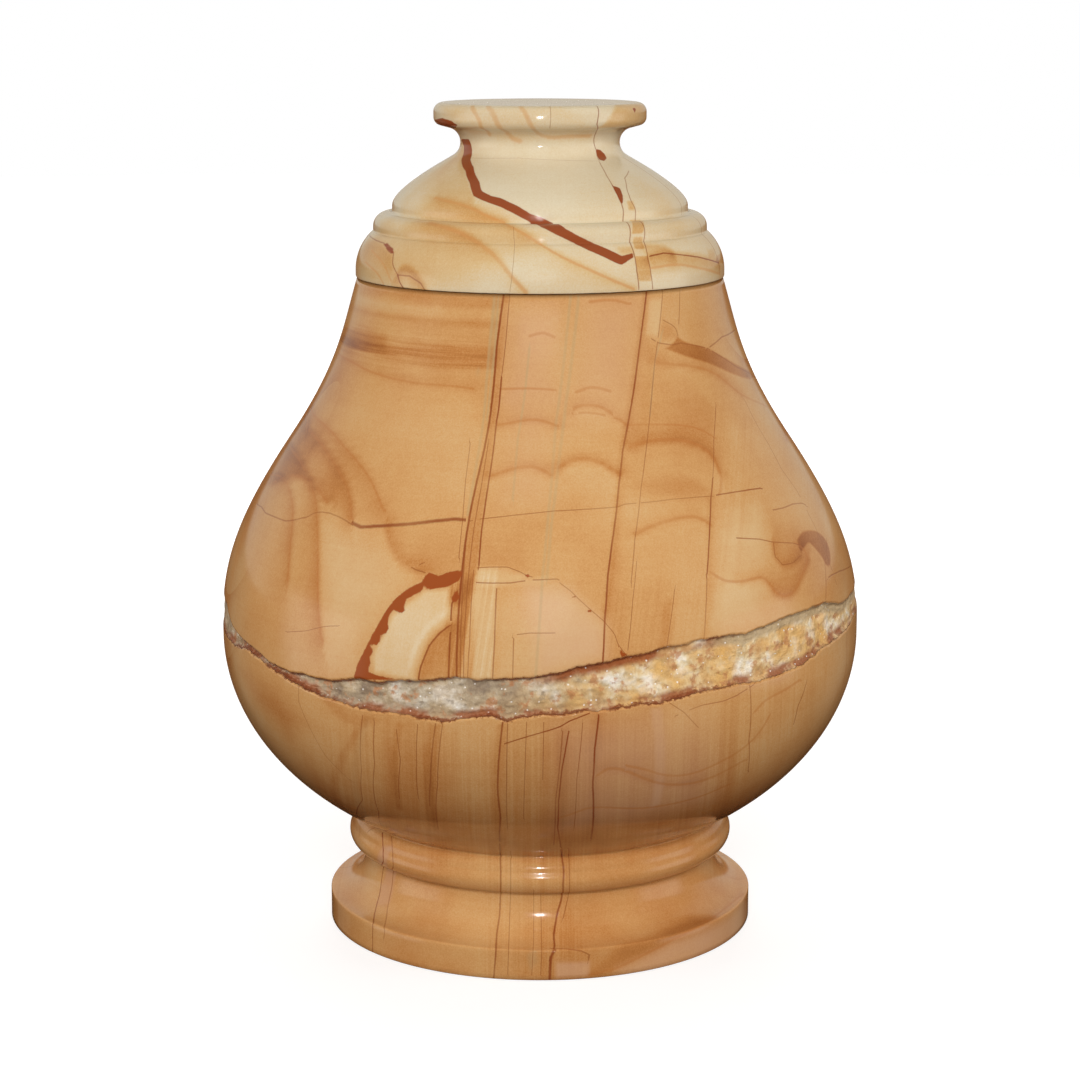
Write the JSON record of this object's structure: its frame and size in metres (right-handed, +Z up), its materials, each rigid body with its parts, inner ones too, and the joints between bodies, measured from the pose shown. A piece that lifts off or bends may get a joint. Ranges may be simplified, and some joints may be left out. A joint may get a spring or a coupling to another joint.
{
  "type": "cremation urn",
  "caption": "Polished banded stone urn, pear-shaped on a turned foot, hollow, with a lift-off stepped and domed stone lid.",
  "frame": {"origin": "centre of the foot's flat underside, on the axis the urn was turned about", "axes": "+Z up along the turning axis, -Y towards the side the picture shows, +X to that view's right"},
  "size_m": [0.2168, 0.2168, 0.2799],
  "materials": {
    "body_stone": "polished iron-banded sandstone with a rough quartz vein",
    "lid_stone": "polished paler sandstone with red-brown iron veins"
  },
  "bodies": {
    "root": {"urn_body": "body_stone", "urn_lid": "lid_stone"}
  },
  "joints": []
}
